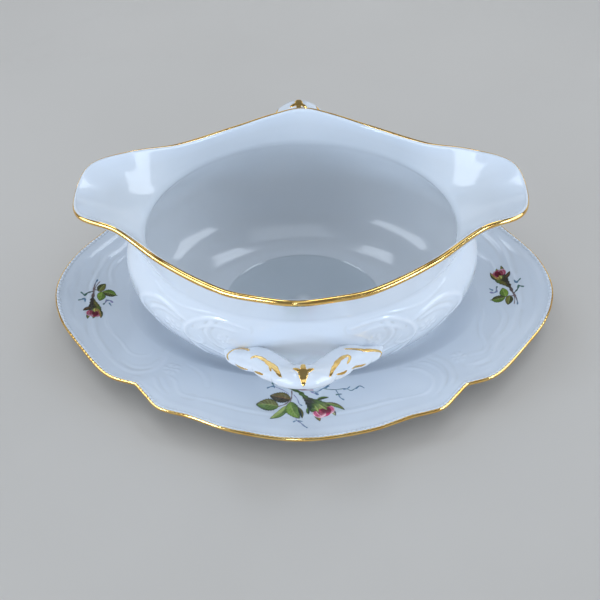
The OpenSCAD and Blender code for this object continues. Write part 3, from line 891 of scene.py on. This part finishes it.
# The large spray that faces the front and the rear, in mm about its middle, the plate's centre above it
LARGE_SPRAY = [
    stroke([(-15.8, 8.2), (-13.4, 9.8), (-11.8, 9.2), (-8, 7), (-5.6, 4.8)], 0.22, 0.12, BLUE, LILAC),
    stroke([(-13.6, 12.2), (-12.8, 10.4), (-12.2, 8.4)], 0.3, 0.16, TEAL, BLUE),
    stroke([(-15.9, 8.6), (-14, 9.4), (-12.4, 9.9)], 0.12, 0.42, BLUE),
    stroke([(4.2, 6.3), (7.5, 6.2), (10.4, 8.4), (12.5, 10.1), (14.4, 12.9)], 0.12, 0.34, BLUE),
    stroke([(11.2, 8.6), (12.6, 9.6), (13.2, 9.8)], 0.4, 0.2, BLUE),
    stroke([(4.8, 5.9), (6.6, 4.9), (8.3, 4)], 0.18, 0.44, LILAC, BLUE),
    stroke([(6.4, 5.2), (8.2, 5.4)], 0.3, 0.14, BLUE),
    stroke([(10.4, 8.3), (13, 7.6), (16.1, 7.4), (20.8, 7.9), (23.5, 6.6), (27, 9.5), (29.5, 8)], 0.12, 0.2,
           TEAL, BLUE),
    stroke([(19.6, 7.6), (21.4, 7.9), (22.8, 9.4)], 0.36, 0.14, BLUE),
    stroke([(25.4, 7.6), (27, 9.3)], 0.3, 0.14, BLUE),
    stroke([(16.1, 7.4), (17.4, 4.4), (18.1, 2.1), (20, 0.2)], 0.12, 0.24, BLUE),
    stroke([(16.2, 3.8), (17.6, 4.2), (19, 4.2)], 0.3, 0.2, TEAL, BLUE),
    stroke([(-1.8, -11.2), (-1.4, -13.1), (0.4, -14.8), (2.1, -16.9), (3.6, -18.2)], 0.12, 0.26,
           LILAC, BLUE),
    stroke([(-3, -14.3), (-1.4, -13.4), (1.3, -13.9)], 0.26, 0.18, BLUE),
    stroke([(-3.2, 4.2), (-1.4, 1), (-0.6, -1.8), (0.9, -3.4)], 0.12, 0.2, LILAC, BLUE),
    stroke([(-4.7, 8.2), (-1.1, 7.6), (3, 7.3), (6, 7.3)], 0.3, 0.12, INK, CRIMSON),
    stroke([(-4.2, 7), (-4.1, 3.2), (-4.6, 0.6), (-7, -2.4), (-10.3, -4.2)], 0.2, 0.24, TWIG),
    stroke([(-4.4, 1.2), (-4.6, -0.6), (-6.4, -3.6)], 0.16, 0.18, TWIG),
    leaf((-4.6, 0.9), (-14.1, 3.3), 3.5, -0.2, OLIVE, UMBER, RUST, 0.1),
    leaf((-9.9, -4), (-20.2, -2.9), 4.0, -0.7, OLIVE, LEAF, PALE, 0.1),
    leaf((-6.4, -3.6), (-13.5, -12.3), 1.9, 1.3, PALE, LEAF, PALE, 0.04),
    leaf((-4.5, -0.9), (-0.2, -11.9), 3.2, -1.0, LIME, LEAF, PALE, 0.1),
    leaf((-0.8, -4.6), (1.1, -11.7), 1.0, 0.4, INK, OLIVE, INK),
    leaf((12.2, -4.4), (16.2, -10.2), 1.2, 0.4, PALE, UMBER, BLUSH),
    leaf((6.6, -8.4), (9.1, -13.8), 1.2, 0.3, OLIVE, RUST, PALE, 0.12),
    *rose_bud((10.7, -7.3), -58, 3.5),
    stroke([(-9.7, 10.5), (-4.7, 8.2), (-1.1, 6.2), (0.6, 4.4), (2.4, 2)], 0.3, 1.05, INK, LEAF),
    panel([(0.7, 3.6), (1.8, 0.9), (2.7, -1.8), (3.6, -4.4), (4.6, -6.6), (6.2, -7.6)],
          [(1.6, 4), (4.2, 1.9), (7.2, 0.6), (9.8, -0.6), (12.2, -2.2), (13.6, -4)],
          ((0, 0.5, LEAF), (0.35, 0.2, BARK), (0.4, 0.6, BARK), (0.6, 0.15, INK), (0.6, 0.75, LEAF),
           (0.75, 0.45, LEAF), (0.95, 0.2, LEAF), (0.86, 0.62, PALE), (1, 0.6, GOLDEN), (0.95, 0.95, OLIVE)),
          0.6, 6, -0.6),
    leaf((7.4, 0.4), (12.9, 2.2), 0.9, 0.5, UMBER, LEAF, LEAF, 0.2),
    leaf((3.8, -4.6), (3.9, -9.2), 0.8, -0.3, LEAF, INK, LEAF, 0.2),
    leaf((11, -1.6), (20.2, -6.5), 1.2, 1.0, LEAF, OLIVE, PALE, 0.12),
    leaf((8.4, -2.4), (12.4, -6.4), 0.9, 0.2, PALE, LEAF, GOLDEN, 0.1),
    leaf((6.6, -3.4), (8.4, -7.8), 0.9, -0.2, LEAF, PALE, GOLDEN, 0.1),
]

# The small spray of the plate's ends, in mm about its middle, the plate's centre to its right
SMALL_SPRAY = [
    stroke([(-1.9, 11.2), (-2.6, 8.7), (-3, 5.4)], 0.26, 0.2, BLUE, TWIG),
    stroke([(-0.6, 10.2), (-2, 7), (-2.8, 4)], 0.14, 0.2, TWIG),
    stroke([(-8.8, 1.4), (-7.3, 0.2), (-6.1, -0.5)], 0.26, 0.5, TEAL),
    stroke([(-6.4, 0), (-5.4, 1.6), (-4, 2.5), (-2.8, 3.2)], 0.4, 0.2, TEAL, BARK),
    stroke([(-9.2, -4.4), (-7.6, -3.4), (-6, -2.4)], 0.2, 0.46, TEAL, BLUE),
    stroke([(-6.2, -2.6), (-5.8, -4.8)], 0.4, 0.24, BLUE),
    stroke([(2.8, -4.6), (3.7, -3), (4.1, -0.8)], 0.3, 0.3, TEAL, LILAC),
    stroke([(3.9, -1.6), (5.6, -1.2), (7.3, -2.4)], 0.26, 0.4, BLUE, LILAC),
    stroke([(5.4, -2.8), (6.8, -4.8)], 0.3, 0.2, BLUE),
    stroke([(-3, 5.8), (-2.7, 2.2), (-2.7, -0.9), (-2.6, -3.4)], 0.26, 0.8, TWIG, BARK),
    stroke([(-2.8, 4.8), (-1, 4.2), (1.8, 3.6)], 0.2, 0.26, TWIG),
    leaf((-0.6, 3.6), (2.2, 9.2), 1.9, 0.2, OLIVE, UMBER, PALE, 0.08),
    leaf((1.2, 3.7), (0.8, -2.4), 2.1, 0.2, LIME, LEAF, PALE, 0.08),
    leaf((1.6, 3.8), (9, 2.5), 2.2, 0.4, UMBER, LEAF, PALE, 0.08, 0.3),
    leaf((-2.2, -11), (-3, -16), 0.9, -0.3, UMBER, OLIVE, PALE),
    leaf((0.2, -11), (-0.6, -15.2), 0.8, 0.2, OLIVE, LEAF, PALE),
    *rose_bud((-0.8, -11.8), -86, 2.3, 0.6),
    panel([(-3.1, -1.2), (-3.2, -4.2), (-3.3, -6.6), (-4, -8.6), (-3, -10.2)],
          [(-2.2, -1), (-0.7, -3.6), (1, -5.6), (2.2, -7.8), (1.5, -9.6)],
          ((0, 0.5, BARK), (0.4, 0.15, BARK), (0.4, 0.8, OLIVE), (0.75, 0.1, BARK),
           (0.7, 0.45, UMBER), (0.75, 0.95, LEAF), (1, 0.2, BARK), (1, 0.6, GOLDEN), (1, 0.95, RUST)),
          0.5, 5, 0.2),
    leaf((-2.4, -8), (-5.8, -10.8), 1.0, -0.3, BARK, UMBER, RUST, 0.15),
    leaf((0.8, -7.8), (3.1, -14.2), 1.0, 0.7, RUST, UMBER, PALE, 0.15),
    leaf((-0.6, -8), (-0.3, -10.6), 0.8, 0, PALE, RUST, GOLDEN),
]


def build_spray(name, spray, place, turn):
    """A spray laid on the plate: each part a thin closed patch that follows the glaze."""
    a = math.radians(turn)
    c, s = math.cos(a), math.sin(a)
    patches = []
    for layer, (points, _) in enumerate(spray):
        x = (c * points[..., 0] - s * points[..., 1] + place[0]) * MM
        y = (s * points[..., 0] + c * points[..., 1] + place[1]) * MM
        z = plate_surface(x, y)
        lift = (0.05 + 0.0035 * layer) * MM
        patches.append((np.stack([x, y, z + lift], -1), np.stack([x, y, z - 0.12 * MM], -1)))
    return patches_mesh(name, patches, [colour for _, colour in spray])


# ---------------------------------------------------------------- materials
def material(name, **settings):
    """A principled material; a setting's underscores stand for the spaces in its socket's name."""
    mat = bpy.data.materials.new(name)
    mat.use_nodes = True
    shader = mat.node_tree.nodes["Principled BSDF"]
    for key, value in settings.items():
        shader.inputs[key.replace("_", " ")].default_value = value
    return mat, mat.node_tree, shader


def node(tree, kind, **values):
    made = tree.nodes.new(kind)
    for key, value in values.items():
        if key in made.inputs:
            made.inputs[key].default_value = value
        else:
            setattr(made, key, value)
    return made


def ramp(tree, source, stops):
    """Colours, or plain numbers, at places along a source's values."""
    made = tree.nodes.new("ShaderNodeValToRGB")
    elements = made.color_ramp.elements
    while len(elements) < len(stops):
        elements.new(0.5)
    for element, (place, value) in zip(elements, stops):
        element.position = place
        element.color = (*(value if isinstance(value, tuple) else (value,) * 3), 1)
    tree.links.new(source, made.inputs["Fac"])
    return made.outputs["Color"]


def noise(tree, scale, detail, rough=0.5):
    place = tree.nodes.new("ShaderNodeTexCoord")
    made = node(tree, "ShaderNodeTexNoise", Scale=scale, Detail=detail, Roughness=rough)
    tree.links.new(place.outputs["Object"], made.inputs["Vector"])
    return made.outputs["Fac"]


def vary(tree, shader, socket, grain, stops):
    """Let a socket vary over the surface by noise, whose scale, detail and roughness are grain."""
    tree.links.new(ramp(tree, noise(tree, *grain), stops), shader.inputs[socket])


def bumps(tree, shader, layers):
    """Bump from several noises: scale, detail, strength and depth in metres."""
    last = None
    for scale, detail, strength, depth in layers:
        layer = node(tree, "ShaderNodeBump", Strength=strength, Distance=depth)
        tree.links.new(noise(tree, scale, detail), layer.inputs["Height"])
        if last:
            tree.links.new(last, layer.inputs["Normal"])
        last = layer.outputs["Normal"]
    tree.links.new(last, shader.inputs["Normal"])


def multiplied(tree, one, other):
    """Product of two colours."""
    mix = node(tree, "ShaderNodeMix", data_type="RGBA", blend_type="MULTIPLY")
    mix.inputs["Factor"].default_value = 1.0
    tree.links.new(one, mix.inputs[6])
    tree.links.new(other, mix.inputs[7])
    return mix.outputs[2]


def porcelain_material():
    """White hard porcelain under a clear glaze; the relief attribute sets its colour. Beside the relief the
    glaze pools, faintly blue, with painted shade there too; inside the bowl it is painted shade, deepest on
    the floor; raised scrolls, pearls and handles are lighter, a painted highlight.
    """
    mat, tree, shader = material(
        "glazed_porcelain", IOR=1.5, Coat_Weight=0.3, Coat_Roughness=0.03, Coat_IOR=1.5,
        Subsurface_Weight=0.12, Subsurface_Radius=(0.9, 1.0, 1.1), Subsurface_Scale=0.0015)
    relief = node(tree, "ShaderNodeAttribute", attribute_name="relief")
    scaled = node(tree, "ShaderNodeMapRange")
    scaled.inputs["From Min"].default_value = DARKEST_PAINTED_SHADE
    scaled.inputs["From Max"].default_value = HIGHEST_RELIEF
    tree.links.new(relief.outputs["Fac"], scaled.inputs["Value"])
    # Colour from the relief values: low values give pooled glaze and painted shade, high values a painted
    # highlight on raised parts
    painted_shading = ramp(tree, scaled.outputs["Result"], (
        (0.0, (0.54, 0.585, 0.62)), (0.25, (0.685, 0.712, 0.742)), (0.36, (0.732, 0.77, 0.82)),
        (1.0, (0.79, 0.82, 0.865))))
    cloud = ramp(tree, noise(tree, 28, 4), ((0.3, (0.95, 0.96, 0.97)), (0.7, 1.0)))
    tree.links.new(multiplied(tree, painted_shading, cloud), shader.inputs["Base Color"])
    vary(tree, shader, "Roughness", (120, 5, 0.6), ((0.35, 0.10), (0.75, 0.17)))
    bumps(tree, shader, ((45, 2, 0.12, 0.0006), (700, 2, 0.06, 0.00004)))
    return mat


def gold_material():
    """Burnished gold line: brushed on by hand, so its sheen and tone vary along it."""
    mat, tree, shader = material("burnished_gold", Metallic=1.0)
    vary(tree, shader, "Base Color", (160, 4), (
        (0.25, (0.80, 0.42, 0.10)), (0.5, (0.98, 0.62, 0.19)), (0.8, (1.0, 0.72, 0.29))))
    vary(tree, shader, "Roughness", (260, 4, 0.6), ((0.3, 0.08), (0.75, 0.20)))
    bumps(tree, shader, ((700, 3, 0.06, 0.00005),))
    return mat


def print_material():
    """Enamel transfer fired under a thin gloss: painted colour with the grain of its tiny dots."""
    mat, tree, shader = material("rose_transfer", Coat_Weight=0.4, Coat_Roughness=0.05)
    paint = node(tree, "ShaderNodeVertexColor", layer_name="paint")
    grain = ramp(tree, noise(tree, 2600, 2), ((0.3, 0.72), (0.55, 1.0), (0.8, 1.22)))
    wash = ramp(tree, noise(tree, 420, 3), ((0.3, (0.82, 0.82, 0.8)), (0.7, (1.15, 1.12, 1.1))))
    grained = multiplied(tree, paint.outputs["Color"], grain)
    tree.links.new(multiplied(tree, grained, wash), shader.inputs["Base Color"])
    vary(tree, shader, "Roughness", (500, 3), ((0.3, 0.18), (0.7, 0.3)))
    return mat


def floor_material():
    mat, tree, shader = material("studio_floor", Roughness=0.75)
    vary(tree, shader, "Base Color", (5, 3), ((0.3, (0.62, 0.60, 0.57)), (0.7, (0.66, 0.64, 0.61))))
    return mat


# ---------------------------------------------------------------- the pieces
SLOT_MATERIALS = {
    "porcelain": porcelain_material(),
    "gilding": gold_material(),
    "transfer_print": print_material(),
}


def finish_piece(piece, body, slot_name, *nodes):
    """Give a piece its material and its body, and hide the CAD nodes that it stands for."""
    piece.data.materials.clear()
    piece.data.materials.append(SLOT_MATERIALS[slot_name])
    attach(piece, body)
    if nodes:
        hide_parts(*nodes)


finish_piece(build_underplate(), "underplate", "porcelain", "underplate")
pearl_edge, plate_gold = build_pearl_edge()
finish_piece(pearl_edge, "underplate", "porcelain")
finish_piece(plate_gold, "underplate", "gilding", "underplate_rim_gilding")

SPRAYS = (  # side, spray, plan place in mm, turn
    ("front", LARGE_SPRAY, (0, -66), 0),
    ("rear", LARGE_SPRAY, (0, 66), 180),
    ("left", SMALL_SPRAY, (-102, -2), 0),
    ("right", SMALL_SPRAY, (100.5, 2), 194),
)
for side, spray, place, turn in SPRAYS:
    printed = build_spray(f"{side}_rose_spray", spray, place, turn)
    finish_piece(printed, "underplate", "transfer_print", f"{side}_rose_transfer")

finish_piece(build_bowl(), "boat", "porcelain", "boat_bowl")
finish_piece(build_rim_gilding(), "boat", "gilding", "boat_rim_gilding")
for end, rear in (("front", False), ("rear", True)):
    finish_piece(build_handle(f"{end}_handle_body", rear), "boat", "porcelain", f"{end}_handle")
    strokes = build_handle_gilding(f"{end}_handle_gold", rear)
    finish_piece(strokes, "boat", "gilding", f"{end}_handle_gilding")

# ---------------------------------------------------------------- floor, light and camera
FLOOR_SIZE = 40.0
DAYLIGHT = (0.80, 0.89, 1.0)
SKYLIGHT = (0.64, 0.79, 1.0)
CEILING_WHITE = (0.95, 0.97, 1.0)
SKY_STRENGTH = 0.22
BOAT_MIDDLE = Vector((0, 0, 0.05))
bpy.ops.mesh.primitive_plane_add(size=FLOOR_SIZE)
floor = bpy.context.active_object
floor.name = "studio_floor"
floor.data.materials.append(floor_material())

world = bpy.data.worlds.new("studio")
bpy.context.scene.world = world
world.use_nodes = True
background = world.node_tree.nodes["Background"]
background.inputs["Color"].default_value = (*DAYLIGHT, 1)
background.inputs["Strength"].default_value = SKY_STRENGTH
bpy.context.scene.view_settings.view_transform = "Standard"


def softbox(name, azimuth, elevation, distance, width, height, power, colour):
    """A window-like light that faces the boat. Azimuth 0 is in front, 90 to the right."""
    a, e = math.radians(azimuth), math.radians(elevation)
    place = Vector((math.sin(a) * math.cos(e), -math.cos(a) * math.cos(e), math.sin(e))) * distance
    data = bpy.data.lights.new(name, "AREA")
    data.shape = "RECTANGLE"
    data.size, data.size_y = width, height
    data.energy = power
    data.color = colour
    light = add_object(name, data)
    light.location = place + BOAT_MIDDLE
    light.rotation_euler = (-place).to_track_quat("-Z", "Y").to_euler()
    return light


def link_floor(light, state):
    """The light shines on everything but the floor (EXCLUDE), or on the floor alone (INCLUDE)."""
    group = bpy.data.collections.new(f"{light.name}_floor")
    group.objects.link(floor)
    group.collection_objects[0].light_linking.link_state = state
    light.light_linking.receiver_collection = group


LIGHTS = (  # name, azimuth, elevation, distance, width, height, power, colour, what it does to the floor
    ("window_left", -68, 22, 2.4, 1.95, 1.5, 35, DAYLIGHT, "EXCLUDE"),
    ("window_right", 80, 23, 2.4, 1.95, 1.5, 36, DAYLIGHT, "EXCLUDE"),
    ("front_left", -43, 13, 2.4, 0.5, 0.32, 13, SKYLIGHT, "EXCLUDE"),
    ("front_right", 52, 12, 2.4, 0.45, 0.30, 10, SKYLIGHT, "EXCLUDE"),
    ("front_low", -5, 17, 2.4, 0.32, 0.22, 6.5, SKYLIGHT, "EXCLUDE"),
    ("fill_left", -148, 16, 2.4, 2.0, 1.4, 7, DAYLIGHT, "EXCLUDE"),
    ("fill_right", 148, 16, 2.4, 2.0, 1.4, 7, DAYLIGHT, "EXCLUDE"),
    ("overhead", 14, 72, 2.4, 1.2, 1.2, 5, DAYLIGHT, None),
    ("panel_left", -122, 66, 1.5, 0.42, 0.32, 1.8, DAYLIGHT, None),
    ("panel_right", 130, 68, 1.5, 0.42, 0.32, 1.8, DAYLIGHT, None),
    ("ceiling", 0, 90, 4, FLOOR_SIZE, FLOOR_SIZE, 2150, CEILING_WHITE, "INCLUDE"),
)
for *light_values, floor_state in LIGHTS:
    lamp = softbox(*light_values)
    if floor_state:
        link_floor(lamp, floor_state)

VIEW_ELEVATION = 48.0
VIEW_TURN = -2.7
VIEW_ROLL = -2.1
VIEW_DISTANCE = 0.569
FOCAL = 67.56
SENSOR_WIDTH = 36
AIM_RIGHT, AIM_UP = 1.61705 * MM, -5.10382 * MM


def place_camera():
    """Camera above the front handle, a little to one side and slightly tilted."""
    e, rho = math.radians(VIEW_ELEVATION), math.radians(VIEW_ROLL)
    ahead = Vector((0, math.cos(e), -math.sin(e)))
    right = Vector((1, 0, 0))
    up = Vector((0, math.sin(e), math.cos(e)))
    where = -VIEW_DISTANCE * ahead - AIM_RIGHT * right - AIM_UP * up
    across = math.cos(rho) * right + math.sin(rho) * up
    upward = math.cos(rho) * up - math.sin(rho) * right
    turn = Matrix.Rotation(math.radians(-VIEW_TURN), 4, "Z")
    axes = Matrix.Identity(4)
    for k, axis in enumerate((across, upward, -ahead, where)):
        axes[0][k], axes[1][k], axes[2][k] = axis
    data = bpy.data.cameras.new("camera")
    data.lens = FOCAL
    data.sensor_width = SENSOR_WIDTH
    data.clip_start = 0.01
    camera = add_object("camera", data)
    camera.matrix_world = turn @ axes
    bpy.context.scene.camera = camera


place_camera()
